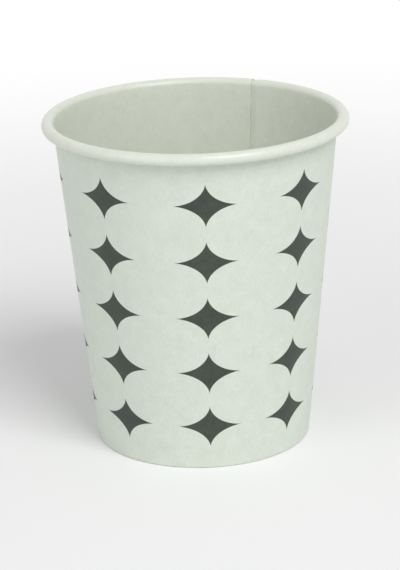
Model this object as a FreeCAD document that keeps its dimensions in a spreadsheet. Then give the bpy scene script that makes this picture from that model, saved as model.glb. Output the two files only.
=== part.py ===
import FreeCAD, Part
import math
import os
import Sketcher
from FreeCAD import Vector

# Paper cup: a tapered side wall with a rolled rim and a folded foot, and a base disc held in the foot.
# The origin is the middle of the foot on the surface it stands on, and +Z runs up through the mouth.
# The front faces -Y and the lapped side seam is at the back.
# Lengths are in millimetres and angles in degrees.

document = FreeCAD.newDocument("paper_cup")
sheet = document.addObject("Spreadsheet::Sheet", "sizes")
CELLS = (
    # Outside sizes of the whole cup
    ("rim_diameter", 73.0),
    ("cup_height", 80.0),
    ("foot_diameter", 52.0),
    # Board of both pieces
    ("board_thickness", 0.3),
    # Rim rolled outward and under, with the free edge tucked in beside the wall
    ("bead_diameter", 3.0),
    ("curl_air", 0.1),
    ("curl_tuck_angle", 170.0),
    # Lower edge folded in and up round the skirt of the base disc
    ("hem_height", 4.8),
    # Side seam: where it starts, how wide the lap is, and the step the outer layer makes onto it
    ("seam_direction", 65.0),
    ("lap_angle", 11.0),
    ("step_angle", 3.0),
    ("lap_foot_height", 0.7),
    ("foot_ring_height", 6.6),
    # Base disc: flat floor, bend and skirt
    ("base_height", 5.7),
    ("skirt_end_height", 0.8),
    ("seal_clearance", 0.02),
)
for row, (alias, number) in enumerate(CELLS, start=1):
    sheet.set(f"A{row}", alias.replace("_", " "))
    sheet.set(f"B{row}", str(number))
    sheet.setAlias(f"B{row}", alias)
document.recompute()

# Round bends are followed by short straight runs, which keep within 0.08 mm of their arc
OVER_RUNS = 6
UNDER_RUNS = 4
FOLD_RUNS = 2


def size(alias):
    return float(getattr(sheet, alias))


# Bead centre, and the unit directions up the wall and across it towards the axis
bead_radius = size("bead_diameter") / 2
bead_centre = Vector(size("rim_diameter") / 2 - bead_radius, size("cup_height") - bead_radius, 0)
foot_corner = Vector(size("foot_diameter") / 2, 0, 0)
to_bead = bead_centre - foot_corner
outer_face_turn = math.asin((bead_radius - size("board_thickness")) / to_bead.Length)
wall_lean = math.atan2(to_bead.x, to_bead.y) - outer_face_turn
up_wall = Vector(math.sin(wall_lean), math.cos(wall_lean), 0)
into_cup = Vector(-math.cos(wall_lean), math.sin(wall_lean), 0)


def wall_point(depth, height):
    """Point at a height and at a depth in from the outer face of the wall."""
    start = foot_corner + into_cup * depth
    return start + up_wall * ((height - start.y) / up_wall.y)


def new_sketch(body, name, direction):
    """Sketch on the upright plane through the axis, turned about the axis to a direction."""
    sketch = body.newObject("Sketcher::SketchObject", name)
    plane = next(part for part in body.Origin.OriginFeatures if part.Role == "XZ_Plane")
    sketch.AttachmentSupport = [(plane, "")]
    sketch.MapMode = "FlatFace"
    sketch.AttachmentOffset = FreeCAD.Placement(Vector(), FreeCAD.Rotation(Vector(0, 1, 0), 1))
    sketch.setExpression("AttachmentOffset.Rotation.Angle", direction)
    return sketch


def line(sketch, start, end, guide=False):
    return sketch.addGeometry(Part.LineSegment(start, end), guide)


def tie(sketch, kind, *where):
    sketch.addConstraint(Sketcher.Constraint(kind, *where))


def round_bend(sketch, centre, radius, start, end, count):
    """Guide arc, followed from end to end by straight runs of equal length."""
    circle = Part.Circle(centre, Vector(0, 0, 1), radius)
    guide = sketch.addGeometry(Part.ArcOfCircle(circle, math.radians(start), math.radians(end)), True)
    points = []
    for step in range(count + 1):
        turn = math.radians(start + (end - start) * step / count)
        points.append(centre + Vector(math.cos(turn), math.sin(turn), 0) * radius)
    runs = [line(sketch, first, second) for first, second in zip(points, points[1:])]
    tie(sketch, "Coincident", runs[0], 1, guide, 1)
    tie(sketch, "Coincident", runs[-1], 2, guide, 2)
    for first, second in zip(runs, runs[1:]):
        tie(sketch, "Coincident", first, 2, second, 1)
        tie(sketch, "PointOnObject", first, 2, guide)
        tie(sketch, "Equal", first, second)
    return guide


def drive(sketch, expression, kind, *where):
    """Constraint whose value follows an expression of the sizes."""
    value = float(sketch.evalExpression(expression))
    if kind == "Angle":
        value = math.radians(value)
    index = sketch.addConstraint(Sketcher.Constraint(kind, *where, value))
    sketch.setExpression(f"Constraints[{index}]", expression)


def guide_wall(sketch):
    """Guide line on the outer face of the wall: through the foot corner and touching the bead."""
    centre, radius = bead_centre, bead_radius - size("board_thickness")
    circle = sketch.addGeometry(Part.Circle(centre, Vector(0, 0, 1), radius), True)
    face = line(sketch, foot_corner, bead_centre + into_cup * radius, True)
    tie(sketch, "PointOnObject", face, 1, -1)
    drive(sketch, "sizes.foot_diameter / 2", "DistanceX", -1, 1, face, 1)
    drive(sketch, "(sizes.rim_diameter - sizes.bead_diameter) / 2", "DistanceX", -1, 1, circle, 3)
    drive(sketch, "sizes.cup_height - sizes.bead_diameter / 2", "DistanceY", -1, 1, circle, 3)
    drive(sketch, "sizes.bead_diameter / 2 - sizes.board_thickness", "Radius", circle)
    tie(sketch, "Tangent", face, 2, circle)
    return face, circle


def draw_strip(sketch, layer):
    """Board from just above the foot up the wall and round the rolled rim, in the inner or outer layer."""
    board = size("board_thickness")
    turn_shift = board + size("curl_air") / 2
    free_turn = 360 - size("curl_tuck_angle")
    lean = math.degrees(wall_lean)
    under_centre = bead_centre + Vector(turn_shift, 0, 0)
    free_edge = Vector(math.cos(math.radians(free_turn)), math.sin(math.radians(free_turn)), 0)
    foot_height = size("lap_foot_height")
    face, bead = guide_wall(sketch)
    sides = []
    for depth in (board - layer * board, -layer * board):
        radius = bead_radius - board + depth
        under = round_bend(sketch, under_centre, radius - turn_shift, free_turn, 360, UNDER_RUNS)
        over = round_bend(sketch, bead_centre, radius, 0, 180 - lean, OVER_RUNS)
        wall = line(sketch, bead_centre + into_cup * radius, wall_point(depth, foot_height))
        tie(sketch, "Tangent", under, 2, over, 1)
        tie(sketch, "Tangent", over, 2, wall, 1)
        tie(sketch, "Coincident", over, 3, bead, 3)
        tie(sketch, "Parallel", wall, face)
        sides.append((under, over, wall))
    (under, over, wall), (under_2, over_2, wall_2) = sides
    tie(sketch, "Horizontal", bead, 3, under, 3)
    tie(sketch, "Coincident", under_2, 3, under, 3)
    drive(sketch, "sizes.board_thickness + sizes.curl_air / 2", "DistanceX", bead, 3, under, 3)
    drive(sketch, f"sizes.bead_diameter / 2 - {layer} * sizes.board_thickness", "Radius", over)
    drive(sketch, f"sizes.bead_diameter / 2 - {layer + 1} * sizes.board_thickness", "Radius", over_2)
    inner_radius = bead_radius - (layer + 1) * board - turn_shift
    free_end = line(
        sketch,
        under_centre + free_edge * inner_radius,
        under_centre + free_edge * (inner_radius + board),
    )
    tie(sketch, "Coincident", free_end, 1, under_2, 1)
    tie(sketch, "Coincident", free_end, 2, under, 1)
    tie(sketch, "PointOnObject", under, 3, free_end)
    drive(sketch, "360 - sizes.curl_tuck_angle", "Angle", free_end)
    foot_end = line(
        sketch,
        wall_point(board - layer * board, foot_height),
        wall_point(-layer * board, foot_height),
    )
    tie(sketch, "Coincident", foot_end, 1, wall, 2)
    tie(sketch, "Coincident", foot_end, 2, wall_2, 2)
    tie(sketch, "Horizontal", foot_end)
    drive(sketch, "sizes.lap_foot_height", "DistanceY", -1, 1, foot_end, 1)


def draw_foot(sketch):
    """Lower wall, pressed fold and hem of the foot. The board folds about sharp creases on its inner side."""
    board = size("board_thickness")
    slot = board + 2 * size("seal_clearance")
    lean = math.degrees(wall_lean)
    face, bead = guide_wall(sketch)
    crease = wall_point(board, board)
    crease_2 = wall_point(board + slot, board)
    ring_top = size("foot_ring_height")
    hem_top = size("hem_height")
    wall_in = line(sketch, wall_point(board, ring_top), crease)
    land_in = line(sketch, crease, crease_2)
    hem_out = line(sketch, crease_2, wall_point(board + slot, hem_top))
    hem_end = line(sketch, wall_point(board + slot, hem_top), wall_point(2 * board + slot, hem_top))
    hem_in = line(sketch, wall_point(2 * board + slot, hem_top), crease_2 + into_cup * board)
    fold_2 = round_bend(sketch, crease_2, board, 180 - lean, 270, FOLD_RUNS)
    land = line(sketch, Vector(crease_2.x, 0, 0), Vector(crease.x, 0, 0))
    fold = round_bend(sketch, crease, board, 270, 360 - lean, FOLD_RUNS)
    wall_out = line(sketch, crease - into_cup * board, wall_point(0, ring_top))
    ring_end = line(sketch, wall_point(0, ring_top), wall_point(board, ring_top))
    tie(sketch, "Coincident", wall_in, 2, land_in, 1)
    tie(sketch, "Coincident", land_in, 2, hem_out, 1)
    tie(sketch, "Coincident", hem_out, 2, hem_end, 1)
    tie(sketch, "Coincident", hem_end, 2, hem_in, 1)
    tie(sketch, "Tangent", hem_in, 2, fold_2, 1)
    tie(sketch, "Tangent", fold_2, 2, land, 1)
    tie(sketch, "Tangent", land, 2, fold, 1)
    tie(sketch, "Tangent", fold, 2, wall_out, 1)
    tie(sketch, "Coincident", wall_out, 2, ring_end, 1)
    tie(sketch, "Coincident", ring_end, 2, wall_in, 1)
    tie(sketch, "Coincident", wall_in, 2, fold, 3)
    tie(sketch, "Coincident", land_in, 2, fold_2, 3)
    tie(sketch, "PointOnObject", wall_out, 2, face)
    tie(sketch, "Parallel", wall_out, face)
    tie(sketch, "Parallel", wall_in, face)
    tie(sketch, "Parallel", hem_out, face)
    tie(sketch, "Parallel", hem_in, face)
    tie(sketch, "Horizontal", land)
    tie(sketch, "Horizontal", land_in)
    tie(sketch, "Horizontal", hem_end)
    tie(sketch, "Horizontal", ring_end)
    tie(sketch, "PointOnObject", land, 1, -1)
    drive(sketch, "sizes.board_thickness", "Radius", fold)
    slot_rule = "2 * sizes.board_thickness + 2 * sizes.seal_clearance"
    drive(sketch, slot_rule, "Distance", hem_out, 2, face)
    drive(sketch, "sizes.hem_height", "DistanceY", -1, 1, hem_end, 1)
    drive(sketch, "sizes.foot_ring_height", "DistanceY", -1, 1, ring_end, 1)


def draw_base(sketch):
    """Floor and skirt of the base disc, folded about a sharp crease and clear of the wall."""
    board = size("board_thickness")
    lean = math.degrees(wall_lean)
    depth = board + size("seal_clearance")
    floor = size("base_height")
    skirt_end = size("skirt_end_height")
    face, bead = guide_wall(sketch)
    crease = wall_point(depth + board, floor)
    under = line(sketch, Vector(0, floor, 0), crease)
    skirt_in = line(sketch, crease, wall_point(depth + board, skirt_end))
    end = line(sketch, wall_point(depth + board, skirt_end), wall_point(depth, skirt_end))
    skirt_out = line(sketch, wall_point(depth, skirt_end), crease - into_cup * board)
    fold = round_bend(sketch, crease, board, -lean, 90, FOLD_RUNS)
    top = line(sketch, Vector(crease.x, floor + board, 0), Vector(0, floor + board, 0))
    axis = line(sketch, Vector(0, floor + board, 0), Vector(0, floor, 0))
    tie(sketch, "Coincident", under, 2, skirt_in, 1)
    tie(sketch, "Coincident", under, 2, fold, 3)
    tie(sketch, "Coincident", skirt_in, 2, end, 1)
    tie(sketch, "Coincident", end, 2, skirt_out, 1)
    tie(sketch, "Tangent", skirt_out, 2, fold, 1)
    tie(sketch, "Tangent", fold, 2, top, 1)
    tie(sketch, "Coincident", top, 2, axis, 1)
    tie(sketch, "Coincident", axis, 2, under, 1)
    tie(sketch, "PointOnObject", axis, 1, -2)
    tie(sketch, "PointOnObject", axis, 2, -2)
    tie(sketch, "Horizontal", under)
    tie(sketch, "Horizontal", top)
    tie(sketch, "Horizontal", end)
    tie(sketch, "Parallel", skirt_in, face)
    tie(sketch, "Parallel", skirt_out, face)
    drive(sketch, "sizes.board_thickness", "Radius", fold)
    drive(sketch, "sizes.base_height", "DistanceY", -1, 1, axis, 2)
    drive(sketch, "sizes.board_thickness + sizes.seal_clearance", "Distance", skirt_out, 1, face)
    drive(sketch, "sizes.skirt_end_height", "DistanceY", -1, 1, end, 1)


def revolve(body, name, sketch, angle):
    feature = body.newObject("PartDesign::Revolution", name)
    feature.Profile = sketch
    feature.ReferenceAxis = (sketch, ["V_Axis"])
    feature.Type = "Angle"
    feature.setExpression("Angle", angle)
    return feature


# Side wall: one fan-shaped piece of board wrapped into a cone, lapped at the seam,
# rolled outward at the top and folded inward at the foot
side_wall = document.addObject("PartDesign::Body", "side_wall")
side_wall.Label = "side_wall"
side_wall.Placement = FreeCAD.Placement()

# Fold and hem of the foot: a full ring, with the lap notched clear so that the foot stands flat
foot_section = new_sketch(side_wall, "foot_section", "sizes.seam_direction")
draw_foot(foot_section)
revolve(side_wall, "foot_ring", foot_section, "360")

# Wall and rolled rim, once round less the step
wall_section = new_sketch(side_wall, "wall_section", "sizes.seam_direction")
draw_strip(wall_section, 0)
revolve(side_wall, "wall", wall_section, "360 - sizes.step_angle")

# Outer layer of the seam lap
lap_section = new_sketch(side_wall, "lap_section", "sizes.seam_direction")
draw_strip(lap_section, 1)
revolve(side_wall, "lap", lap_section, "sizes.lap_angle")

# Step that carries the wall out by one board onto the lap
step_section = new_sketch(side_wall, "step_section", "sizes.seam_direction - sizes.step_angle")
draw_strip(step_section, 0)
step = side_wall.newObject("PartDesign::AdditiveLoft", "step")
step.Profile = step_section
step.Sections = [lap_section]
step.Ruled = True

# Base disc: a round piece of board with its edge drawn down into the skirt held in the foot
base_disc = document.addObject("PartDesign::Body", "base_disc")
base_disc.Label = "base_disc"
base_disc.Placement = FreeCAD.Placement()
base_section = new_sketch(base_disc, "base_section", "0")
draw_base(base_section)
revolve(base_disc, "base", base_section, "360")

document.recompute()
for item in document.Objects:
    if "Invalid" in item.State or "Error" in item.State:
        raise RuntimeError(f"{item.Name} did not recompute: {item.State}")
    if item.TypeId == "Sketcher::SketchObject" and not item.FullyConstrained:
        raise RuntimeError(f"{item.Name} is not fully constrained")

os.makedirs("parts", exist_ok=True)
for body in (side_wall, base_disc):
    if body.Shape.isNull() or not body.Shape.isValid():
        raise RuntimeError(f"{body.Label} has no valid shape")
    body.Shape.exportStep(f"parts/{body.Label}.step")
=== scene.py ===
import math

import bmesh
import bpy
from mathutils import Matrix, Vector


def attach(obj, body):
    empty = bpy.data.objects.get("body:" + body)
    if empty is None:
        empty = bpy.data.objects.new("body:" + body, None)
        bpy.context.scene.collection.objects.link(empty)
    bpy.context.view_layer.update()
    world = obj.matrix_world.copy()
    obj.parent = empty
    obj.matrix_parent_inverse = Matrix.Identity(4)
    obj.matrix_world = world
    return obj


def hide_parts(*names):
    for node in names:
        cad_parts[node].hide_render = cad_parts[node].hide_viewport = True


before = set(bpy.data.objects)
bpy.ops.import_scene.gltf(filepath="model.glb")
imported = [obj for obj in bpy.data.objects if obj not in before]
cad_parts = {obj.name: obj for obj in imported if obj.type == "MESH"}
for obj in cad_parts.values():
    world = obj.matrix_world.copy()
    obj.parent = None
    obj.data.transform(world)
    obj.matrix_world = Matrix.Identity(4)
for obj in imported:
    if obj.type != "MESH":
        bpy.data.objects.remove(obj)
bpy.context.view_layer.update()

bpy.ops.object.select_all(action="DESELECT")

# Side wall: one fan of thin coated board, wrapped into a cone and heat-sealed at a lapped seam at the back.
# Its top edge is rolled outward into the rim, and its lower edge is folded inward to hold the base disc.
# It is drawn ring by ring along the middle of the board, in millimetres, and then gets its thickness.
MM = 0.001
BOARD = 0.3
RIM_RADIUS = 36.485
RIM_TOP = 79.99
BEAD = 1.5
CURL_AIR = 0.1
CURL_TUCK = 170
FOOT_RADIUS = 26.0
HEM_TOP = 4.8
HEM_RINGS = (HEM_TOP, 3.6, 2.4, 1.2)
SEAL = 0.02
SLOT = BOARD + 2 * SEAL
NOTCH = 0.7
BASE_LINE = 5.6
BASE_LINE_HALF = 0.8
BASE_LINE_RIDGE = 0.07
WALL_RINGS = range(12, 77, 8)
WALL_COLUMNS = 360
FOLD_STEPS = 4
CURL_STEPS = 12

bead_at = Vector((RIM_RADIUS - BEAD, RIM_TOP - BEAD))
from_foot = bead_at - Vector((FOOT_RADIUS, 0))
lean = math.atan2(from_foot.x, from_foot.y) - math.asin((BEAD - BOARD) / from_foot.length)
lean_deg = math.degrees(lean)
into_cup = Vector((-math.cos(lean), math.sin(lean)))


def wall_radius(depth, height):
    """Radius at a height, at a depth in from the outside of the wall."""
    start = Vector((FOOT_RADIUS, 0)) + into_cup * depth
    return start.x + math.tan(lean) * (height - start.y)


def wall_point(depth, height):
    return Vector((wall_radius(depth, height), height))


def turn(centre, radius, first, last, steps):
    """Points along a round bend of the board, seen edge on, between two angles."""
    angles = [math.radians(first + (last - first) * k / steps) for k in range(steps + 1)]
    return [centre + Vector((math.cos(a), math.sin(a))) * radius for a in angles]


def draw_sheet(name, rings, columns):
    """Extrudes a ring of loose edges through the places, each a radius and a height, of a sheet's line."""
    start = rings[0]
    bpy.ops.mesh.primitive_circle_add(vertices=columns, radius=start.x * MM, location=(0, 0, start.y * MM))
    sheet = bpy.context.object
    sheet.name = name
    sheet.data.name = name
    bpy.ops.object.transform_apply(location=True, rotation=True, scale=True)
    bpy.ops.object.mode_set(mode="EDIT")
    bpy.ops.mesh.select_all(action="SELECT")
    for last, at in zip(rings, rings[1:]):
        bpy.ops.mesh.extrude_edges_move(TRANSFORM_OT_translate={"value": (0, 0, (at.y - last.y) * MM)})
        grow = at.x / last.x
        bpy.ops.transform.resize(value=(grow, grow, 1), center_override=(0, 0, at.y * MM))
    return sheet


hem_depth = BOARD + SLOT + BOARD / 2
hem_crease = wall_point(BOARD + SLOT, BOARD)
crease = wall_point(BOARD, BOARD)
under_at = bead_at + Vector((BOARD + CURL_AIR / 2, 0))
under_radius = BEAD - BOARD - (BOARD + CURL_AIR) / 2

wall_line = [wall_point(hem_depth, z) for z in HEM_RINGS]
wall_line += turn(hem_crease, BOARD / 2, 180 - lean_deg, 270, FOLD_STEPS)
wall_line += turn(crease, BOARD / 2, 270, 360 - lean_deg, FOLD_STEPS)
wall_line += [wall_point(BOARD / 2, z) for z in (NOTCH, BASE_LINE / 2, BASE_LINE - BASE_LINE_HALF)]
wall_line += [wall_point(BOARD / 2 - BASE_LINE_RIDGE, BASE_LINE)]
wall_line += [wall_point(BOARD / 2, z) for z in (BASE_LINE + BASE_LINE_HALF, *WALL_RINGS)]
wall_line += turn(bead_at, BEAD - BOARD / 2, 180 - lean_deg, 0, CURL_STEPS)
wall_line += turn(under_at, under_radius, 0, -CURL_TUCK, CURL_STEPS)[1:]
side_wall = draw_sheet("side_wall_sheet", wall_line, WALL_COLUMNS)

# Seam: one edge of the fan laps over the other for LAP degrees. The columns of faces are one degree wide,
# so a test that reaches half a degree past a column takes in the corners along its edge.
SEAM = 65
LAP = 11
HALF = 0.5
EASE = ((-2, 0.25), (-1, 0.7))
SAME_PLACE = 0.01


def pick(mode, test):
    """Selects the shown corners or faces that pass a test, and nothing else."""
    bpy.ops.mesh.select_mode(type=mode)
    bpy.ops.mesh.select_all(action="DESELECT")
    shape = bmesh.from_edit_mesh(bpy.context.object.data)
    for part in shape.verts if mode == "VERT" else shape.faces:
        place = part.co if mode == "VERT" else part.calc_center_median()
        if not part.hide and test(place / MM):
            part.select_set(True)
    bmesh.update_edit_mesh(bpy.context.object.data)


def past_seam(place):
    """Degrees past the start of the seam, or None on the hem and the foot, where there is no lap."""
    on_hem = place.z < HEM_TOP + 1 and math.hypot(place.x, place.y) < wall_radius(BOARD, place.z)
    if on_hem or place.z < NOTCH - SAME_PLACE:
        return None
    return (math.degrees(math.atan2(place.y, place.x)) - SEAM + 180) % 360 - 180


def in_seam(first, last):
    def test(place):
        angle = past_seam(place)
        return angle is not None and first < angle < last
    return test


# The faces past the seam are doubled and moved out by one board, and the column behind them is cut away
pick("FACE", in_seam(-1, LAP))
bpy.ops.mesh.duplicate()
bpy.ops.mesh.hide(unselected=False)
pick("FACE", in_seam(-1, 0))
bpy.ops.mesh.delete(type="FACE")
bpy.ops.mesh.reveal(select=True)
bpy.ops.mesh.hide(unselected=True)
pick("VERT", in_seam(-HALF, LAP + HALF))
bpy.ops.transform.shrink_fatten(value=(BOARD + SEAL) * MM)
bpy.ops.mesh.reveal(select=False)
pick("VERT", in_seam(-1 - HALF, -1 + HALF))
bpy.ops.mesh.remove_doubles(threshold=SAME_PLACE * MM)

# The board eases out onto the lap over the last columns before it, each by a share of the step
for angle, share in EASE:
    pick("VERT", in_seam(angle - HALF, angle + HALF))
    bpy.ops.transform.shrink_fatten(value=(BOARD + SEAL) * share * MM)

# Hem ribs: a toothed wheel squeezes the folded hem onto the skirt of the base disc,
# and leaves fine upright ribs pressed into it.
RIB_PITCH = 3
RIB_DEPTH = 0.16
RIB_FOOT = 1.0
RIB_TOP = HEM_TOP - 0.5


def on_rib(place):
    on_hem = math.hypot(place.x, place.y) < wall_radius(BOARD + SLOT, place.z)
    angle = round(math.degrees(math.atan2(place.y, place.x)))
    return on_hem and RIB_FOOT < place.z < RIB_TOP and angle % RIB_PITCH == 0


pick("VERT", on_rib)
rib_grow = 1 - RIB_DEPTH / (FOOT_RADIUS - BOARD - SLOT)
bpy.ops.transform.resize(value=(rib_grow, rib_grow, 1), center_override=(0, 0, 0))
bpy.ops.object.mode_set(mode="OBJECT")

# Finish of the board: felted fibre in two near tones, with a slight relief and a soft gloss.
# The outside is printed, the inside has a glossier coat, and the cut edges are bare.
# A fibre is given by its width and length, and a cloud by its size.
FIBRE = (0.28, 0.9)
CLOUD = 3.0
CLOUD_DETAIL = 3
FIBRE_DETAIL = 2
CLOUD_CONTRAST = 1.8
FIBRE_CONTRAST = 2.2
TONE_SHIFT = -1.5
ROUGH_DRIFT = 0.1
CLOUD_RELIEF = 3
GRAIN_SHARPNESS = 0.6


def add_node(material, kind, **settings):
    made = material.node_tree.nodes.new(kind)
    for name, value in settings.items():
        setattr(made, name, value)
    return made


def join(material, value, socket):
    """Links a socket to a socket, or writes a plain number or colour on it."""
    if isinstance(value, bpy.types.NodeSocket):
        material.node_tree.links.new(value, socket)
    else:
        socket.default_value = value


def calc(material, operation, *values, clamp=False):
    made = add_node(material, "ShaderNodeMath", operation=operation, use_clamp=clamp)
    for value, socket in zip(values, made.inputs):
        join(material, value, socket)
    return made.outputs[0]


def blend_colour(material, mask, low, high):
    made = add_node(material, "ShaderNodeMix", data_type="RGBA", clamp_factor=True)
    join(material, mask, made.inputs[0])
    join(material, low, made.inputs[6])
    join(material, high, made.inputs[7])
    return made.outputs[2]


def paint(red, green, blue):
    """Colour as it is read off a picture, from 0 to 255, turned into the colour that a shader takes."""
    parts = [value / 255 for value in (red, green, blue)]
    return [p / 12.92 if p < 0.04045 else ((p + 0.055) / 1.055) ** 2.4 for p in parts] + [1]


def board_fibre_group():
    """Felted fibre of the board: soft clouds where the pulp lies thicker, and fine upright fibres."""
    group = bpy.data.node_groups.new("board_fibre", "ShaderNodeTree")
    for name in ("Fibre Width", "Fibre Length", "Cloud Size"):
        group.interface.new_socket(name, in_out="INPUT", socket_type="NodeSocketFloat")
    for name in ("Clouds", "Fibres"):
        group.interface.new_socket(name, in_out="OUTPUT", socket_type="NodeSocketFloat")
    nodes, links = group.nodes, group.links
    given = nodes.new("NodeGroupInput")
    result = nodes.new("NodeGroupOutput")
    place = nodes.new("ShaderNodeTexCoord").outputs["Object"]
    for name, sizes, detail in (
        ("Clouds", ("Cloud Size", "Cloud Size", "Cloud Size"), CLOUD_DETAIL),
        ("Fibres", ("Fibre Width", "Fibre Width", "Fibre Length"), FIBRE_DETAIL),
    ):
        spacing = nodes.new("ShaderNodeCombineXYZ")
        for size_name, socket in zip(sizes, spacing.inputs):
            links.new(given.outputs[size_name], socket)
        counted = nodes.new("ShaderNodeVectorMath")
        counted.operation = "DIVIDE"
        links.new(place, counted.inputs[0])
        links.new(spacing.outputs[0], counted.inputs[1])
        noise = nodes.new("ShaderNodeTexNoise")
        noise.inputs["Scale"].default_value = 1
        noise.inputs["Detail"].default_value = detail
        noise.inputs["Roughness"].default_value = GRAIN_SHARPNESS
        links.new(counted.outputs[0], noise.inputs["Vector"])
        links.new(noise.outputs[0], result.inputs[name])
    return group


board_fibre = board_fibre_group()


def board_finish(name, light, dark, rough, relief, fibre=FIBRE, cloud=CLOUD, ink=None):
    """Board whose colour and gloss drift between two tones, printed with an ink where one is given."""
    material = bpy.data.materials.new(name)
    material.use_nodes = True
    shader = material.node_tree.nodes["Principled BSDF"]
    grain = add_node(material, "ShaderNodeGroup", node_tree=board_fibre)
    grain.inputs["Fibre Width"].default_value = fibre[0] * MM
    grain.inputs["Fibre Length"].default_value = fibre[1] * MM
    grain.inputs["Cloud Size"].default_value = cloud * MM
    tone = calc(material, "MULTIPLY_ADD", grain.outputs["Clouds"], CLOUD_CONTRAST, TONE_SHIFT)
    tone = calc(material, "MULTIPLY_ADD", grain.outputs["Fibres"], FIBRE_CONTRAST, tone, clamp=True)
    colour = blend_colour(material, tone, dark, light)
    if ink:
        colour = ink(material, colour, tone)
    join(material, colour, shader.inputs["Base Color"])
    gloss = calc(material, "MULTIPLY_ADD", tone, ROUGH_DRIFT, rough - ROUGH_DRIFT / 2)
    join(material, gloss, shader.inputs["Roughness"])
    bump = add_node(material, "ShaderNodeBump")
    bump.inputs["Strength"].default_value = 1
    bump.inputs["Distance"].default_value = relief * MM
    height = calc(material, "MULTIPLY_ADD", grain.outputs["Clouds"], CLOUD_RELIEF, grain.outputs["Fibres"])
    join(material, height, bump.inputs["Height"])
    join(material, bump.outputs[0], shader.inputs["Normal"])
    return material


# Print on the wall: straight columns of dark grey ink stars, each with four points and hollow sides.
# They are printed while the board is flat. The first column is FIRST_COLUMN degrees from the front.
STAR_COLUMNS = 8
FIRST_COLUMN = 3
LOWEST_ROW = 11.0
ROW_PITCH = 14.0
STAR_ROWS = 5
STAR_HALF_WIDTH = 8.4
STAR_HALF_HEIGHT = 5.85
STAR_TIP = 0.004


def in_stars(material):
    """1 inside a star and 0 on bare board. Each side of a star is a quarter of a long round."""
    place = add_node(material, "ShaderNodeSeparateXYZ")
    join(material, add_node(material, "ShaderNodeTexCoord").outputs["Object"], place.inputs[0])
    x, y, z = place.outputs
    around = calc(material, "ARCTAN2", x, calc(material, "MULTIPLY", y, -1))
    flat = add_node(material, "ShaderNodeCombineXYZ")
    join(material, x, flat.inputs[0])
    join(material, y, flat.inputs[1])
    reach = add_node(material, "ShaderNodeVectorMath", operation="LENGTH")
    join(material, flat.outputs[0], reach.inputs[0])
    pitch = math.tau / STAR_COLUMNS
    past_first = calc(material, "SUBTRACT", around, math.radians(FIRST_COLUMN))
    column = calc(material, "DIVIDE", past_first, pitch)
    aside = calc(material, "ABSOLUTE", calc(material, "WRAP", column, 0.5, -0.5))
    aside = calc(material, "MULTIPLY", aside, reach.outputs["Value"])
    aside = calc(material, "MULTIPLY", aside, pitch / (STAR_HALF_WIDTH * MM))
    row = calc(material, "DIVIDE", calc(material, "SUBTRACT", z, LOWEST_ROW * MM), ROW_PITCH * MM)
    above = calc(material, "ABSOLUTE", calc(material, "WRAP", row, 0.5, -0.5))
    above = calc(material, "MULTIPLY", above, ROW_PITCH / STAR_HALF_HEIGHT)
    squares = []
    for part in (aside, above):
        short = calc(material, "SUBTRACT", 1, part, clamp=True)
        squares.append(calc(material, "MULTIPLY", short, short))
    depth = calc(material, "SQRT", calc(material, "ADD", *squares))
    past_edge = calc(material, "SUBTRACT", depth, 1 + STAR_TIP)
    star = calc(material, "MULTIPLY", past_edge, 1 / STAR_TIP, clamp=True)
    rows = calc(material, "COMPARE", row, (STAR_ROWS - 1) / 2, STAR_ROWS / 2)
    return calc(material, "MULTIPLY", star, rows)


def star_print(material, bare_colour, tone):
    ink_colour = blend_colour(material, tone, paint(56, 64, 55), paint(70, 78, 69))
    return blend_colour(material, in_stars(material), bare_colour, ink_colour)


printed = board_finish(
    "printed_board",
    light=paint(218, 226, 215),
    dark=paint(209, 217, 205),
    rough=0.5,
    relief=0.009,
    ink=star_print,
)
printed.node_tree.nodes["Principled BSDF"].inputs["Specular IOR Level"].default_value = 0.35

coated = board_finish(
    "coated_board",
    light=paint(220, 225, 213),
    dark=paint(212, 217, 204),
    rough=0.4,
    relief=0.006,
)
coated.node_tree.nodes["Principled BSDF"].inputs["Coat Weight"].default_value = 0.3
coated.node_tree.nodes["Principled BSDF"].inputs["Coat Roughness"].default_value = 0.28

cut_edge = board_finish(
    "cut_board_edge",
    light=paint(216, 214, 199),
    dark=paint(196, 193, 176),
    rough=0.85,
    relief=0.03,
    fibre=(0.08, 0.3),
    cloud=1.5,
)

SHARP_EDGE = math.radians(40)


def give_thickness(piece, *materials):
    """Thickens a sheet evenly on both sides, with a finish for its outside, inside and cut edge."""
    for material in materials:
        piece.data.materials.append(material)
    board = piece.modifiers.new("board", "SOLIDIFY")
    board.thickness = BOARD * MM
    board.offset = 0
    board.use_even_offset = True
    board.material_offset = 1
    board.material_offset_rim = 2
    bpy.ops.object.modifier_apply(modifier=board.name)
    bpy.ops.object.mode_set(mode="EDIT")
    bpy.ops.mesh.select_all(action="SELECT")
    bpy.ops.mesh.remove_doubles(threshold=SEAL / 4 * MM)
    bpy.ops.object.mode_set(mode="OBJECT")
    bpy.ops.object.shade_smooth_by_angle(angle=SHARP_EDGE)


give_thickness(side_wall, printed, coated, cut_edge)
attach(side_wall, "root")
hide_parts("side_wall")

# Base disc: one round piece of the same board, coated on top, its edge drawn down into a skirt.
# The skirt is heat-sealed between the wall and the hem, so the floor of the cup sits well above the foot.
CUP_FLOOR = 5.7
SKIRT_END = 0.8
SKIRT_MIDDLE = 3.2
DISC_RINGS = (24, 18, 12, 6, 2)
DISC_COLUMNS = 180
EDGE_STEPS = 5

skirt_depth = BOARD + SEAL + BOARD / 2
fold_at = wall_point(skirt_depth + BOARD / 2, CUP_FLOOR)
disc_line = [wall_point(skirt_depth, z) for z in (SKIRT_END, SKIRT_MIDDLE)]
disc_line += turn(fold_at, BOARD / 2, -lean_deg, 90, EDGE_STEPS)
disc_line += [Vector((r, CUP_FLOOR + BOARD / 2)) for r in DISC_RINGS]

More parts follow.
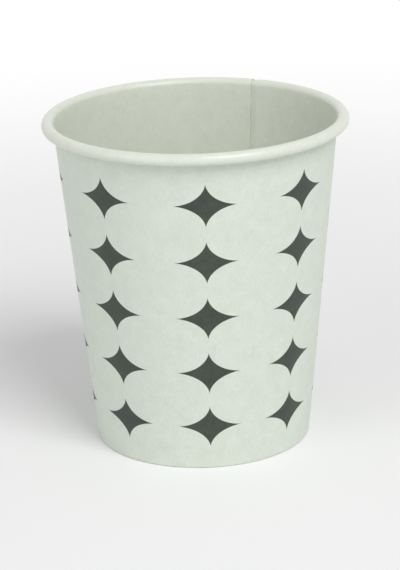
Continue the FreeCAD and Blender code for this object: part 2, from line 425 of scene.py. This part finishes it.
base_disc = draw_sheet("base_disc_sheet", disc_line, DISC_COLUMNS)
bpy.ops.mesh.extrude_edges_move()
bpy.ops.mesh.merge(type="CENTER")
bpy.ops.object.mode_set(mode="OBJECT")

uncoated = board_finish(
    "plain_board",
    light=paint(218, 221, 207),
    dark=paint(207, 210, 195),
    rough=0.7,
    relief=0.012,
)
give_thickness(base_disc, coated, uncoated, cut_edge)
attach(base_disc, "root")
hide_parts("base_disc")

# Stage: a plain pale floor that fades into a white surround, so that only the cup's soft shadow is left.
# A large soft lamp from the front right, a weak one from the left and the surround light the cup.
# Its places and sizes are in metres.
FLOOR_SIZE = 8
FLOOR_DROP = 0.00003
FLOOR_SHADE = 0.9
FADE_FROM = 0.1
FADE_TO = 0.4
SURROUND_LIGHT = 0.52
CUP_MIDDLE = Vector((0, 0, 0.04))


def show_to_eye(material, lit, seen_white, share):
    """Gives the camera and reflections a share of plain white in place of what is lit."""
    rays = add_node(material, "ShaderNodeLightPath")
    seen = calc(material, "MAXIMUM", rays.outputs["Is Camera Ray"], rays.outputs["Is Glossy Ray"])
    choice = add_node(material, "ShaderNodeMixShader")
    join(material, calc(material, "MULTIPLY", share, seen), choice.inputs[0])
    join(material, lit.outputs[0], choice.inputs[1])
    join(material, seen_white.outputs[0], choice.inputs[2])
    return choice.outputs[0]


bpy.ops.mesh.primitive_plane_add(size=FLOOR_SIZE, location=(0, 0, -FLOOR_DROP))
floor = bpy.context.object
floor.name = "studio_floor"
floor_paint = bpy.data.materials.new("studio_floor")
floor_paint.use_nodes = True
matt = floor_paint.node_tree.nodes["Principled BSDF"]
matt.inputs["Base Color"].default_value = (FLOOR_SHADE, FLOOR_SHADE, FLOOR_SHADE, 1)
matt.inputs["Roughness"].default_value = 0.9
matt.inputs["Specular IOR Level"].default_value = 0.2
away = add_node(floor_paint, "ShaderNodeVectorMath", operation="LENGTH")
join(floor_paint, add_node(floor_paint, "ShaderNodeTexCoord").outputs["Object"], away.inputs[0])
fade = add_node(floor_paint, "ShaderNodeMapRange", interpolation_type="SMOOTHSTEP")
join(floor_paint, away.outputs["Value"], fade.inputs["Value"])
fade.inputs["From Min"].default_value = FADE_FROM
fade.inputs["From Max"].default_value = FADE_TO
white = add_node(floor_paint, "ShaderNodeEmission")
floor_look = show_to_eye(floor_paint, matt, white, fade.outputs[0])
join(floor_paint, floor_look, floor_paint.node_tree.nodes["Material Output"].inputs[0])
floor.data.materials.append(floor_paint)


def soft_lamp(name, place, size, power):
    """Square soft box aimed at the middle of the cup."""
    bpy.ops.object.light_add(type="AREA", location=place)
    lamp = bpy.context.object
    lamp.name = name
    lamp.data.size = size
    lamp.data.energy = power
    lamp.rotation_euler = (CUP_MIDDLE - Vector(place)).to_track_quat("-Z", "Y").to_euler()


soft_lamp("key_lamp", place=(0.7, -1.1, 1.5), size=1.0, power=20)
soft_lamp("fill_lamp", place=(-1.1, -1.0, 1.0), size=1.0, power=4)

surround = bpy.data.worlds.new("surround")
surround.use_nodes = True
bpy.context.scene.world = surround
shown = surround.node_tree.nodes["Background"]
shown.inputs["Color"].default_value = (1, 1, 1, 1)
lighting = add_node(surround, "ShaderNodeBackground")
lighting.inputs["Color"].default_value = (1, 1, 1, 1)
lighting.inputs["Strength"].default_value = SURROUND_LIGHT
surround_look = show_to_eye(surround, lighting, shown, share=1)
join(surround, surround_look, surround.node_tree.nodes["World Output"].inputs[0])

# Camera: from the photograph's side, a little above the cup and about half a metre off, leaning slightly.
# Its long lens is aimed a little below the middle of the cup, and its places are in millimetres.
EYE = Vector((-0.9, -545, 225))
AIM = Vector((0, 0, 37))
ROLL = -1.65
LENS = 150

bpy.ops.object.camera_add(location=EYE * MM)
camera = bpy.context.object
camera.rotation_euler = (AIM - EYE).to_track_quat("-Z", "Y").to_euler()
camera.rotation_euler.rotate_axis("Z", math.radians(ROLL))
camera.data.lens = LENS
bpy.context.scene.camera = camera
bpy.context.scene.view_settings.view_transform = "Standard"
